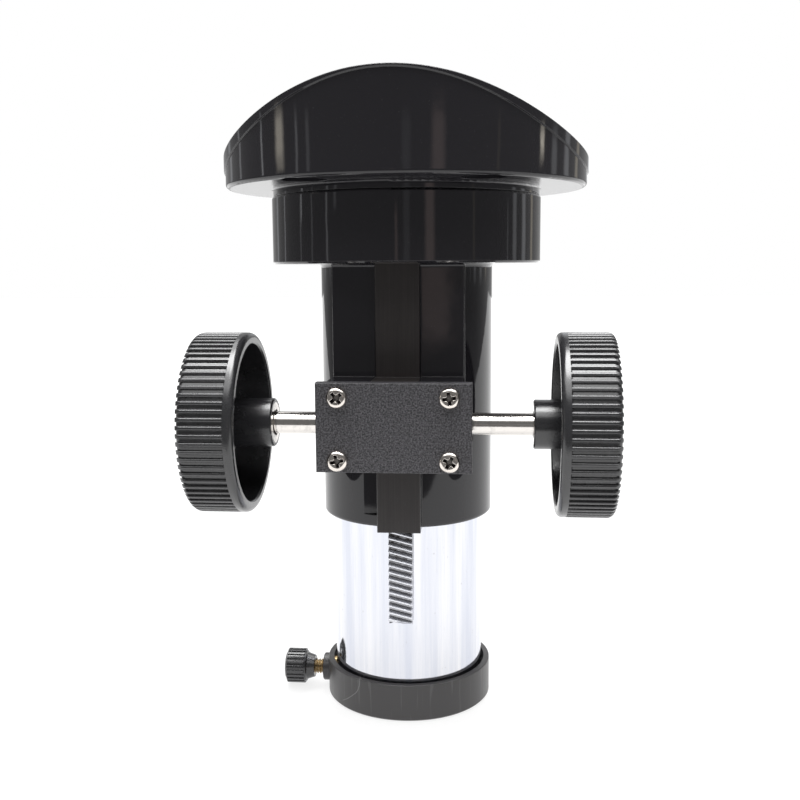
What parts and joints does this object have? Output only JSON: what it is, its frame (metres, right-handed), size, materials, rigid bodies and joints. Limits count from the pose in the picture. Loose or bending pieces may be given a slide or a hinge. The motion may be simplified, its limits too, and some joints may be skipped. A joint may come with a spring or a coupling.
{
  "type": "rack-and-pinion telescope focuser",
  "caption": "Eyepiece focuser for a reflecting telescope: a curved saddle carries a housing in which a racked drawtube is driven in and out by a pinion shaft with a knob at each end.",
  "frame": {"origin": "on the optical axis at the open end of the eyepiece collar, with the drawtube part way out", "axes": "+Z along the optical axis towards the telescope tube; X along the knob shaft; -Y faces the pinion cover"},
  "size_m": [0.0924, 0.0893, 0.1472],
  "materials": {
    "gloss_black": "glossy black moulded plastic",
    "knob_black": "matte black plastic with a ridged grip",
    "cover_black": "fine-grained matte black",
    "collar_black": "satin black",
    "tube_chrome": "bright chrome plate",
    "steel": "machined steel",
    "nickel": "bright nickel plate",
    "stainless": "ground stainless steel",
    "brass": "turned brass",
    "nylon_white": "natural nylon",
    "ptfe": "self-lubricating strip",
    "spring_steel": "blued spring steel"
  },
  "bodies": {
    "housing": {"saddle_base": "gloss_black", "focuser_housing": "gloss_black", "base_screws": "steel", "guide_strips": "ptfe", "bearing_block_left": "nylon_white", "bearing_block_right": "nylon_white", "tension_spring": "spring_steel", "pinion_cover": "cover_black", "cover_screws": "nickel"},
    "knob_shaft": {"pinion_shaft": "stainless", "pinion_gear": "brass", "knob_left": "knob_black", "knob_right": "knob_black", "knob_insert_left": "stainless", "knob_insert_right": "stainless"},
    "drawtube": {"drawtube": "tube_chrome", "rack": "steel", "rack_screws": "steel", "eyepiece_collar": "collar_black", "clamp_insert": "brass"},
    "clamp_pad": {"clamp_pad": "nylon_white"},
    "clamp_screw": {"clamp_stud": "brass", "clamp_head": "knob_black"}
  },
  "joints": [
    {"name": "pinion_spin", "type": "hinge", "parent": "housing", "child": "knob_shaft", "pos_m": [0, -0.02566, 0.0729], "axis": [1, 0, 0], "range_deg": [-250.2, 528.2]},
    {"name": "drawtube_slide", "type": "slide", "parent": "housing", "child": "drawtube", "axis": [0, 0, 1], "range_m": [-0.018, 0.038]},
    {"name": "clamp_pad_slide", "type": "slide", "parent": "drawtube", "child": "clamp_pad", "axis": [1, 0, 0], "range_m": [-0.0015, 0.0015]},
    {"name": "clamp_screw_turn", "type": "hinge", "parent": "clamp_pad", "child": "clamp_screw", "pos_m": [-0.024, 0, 0.0046], "axis": [1, 0, 0], "range_deg": [-772, 772]}
  ],
  "couplings": [
    {"joint": "pinion_spin", "follows": "drawtube_slide", "rad_per_m": 242.57},
    {"joint": "clamp_screw_turn", "follows": "clamp_pad_slide", "rad_per_m": 8976}
  ]
}
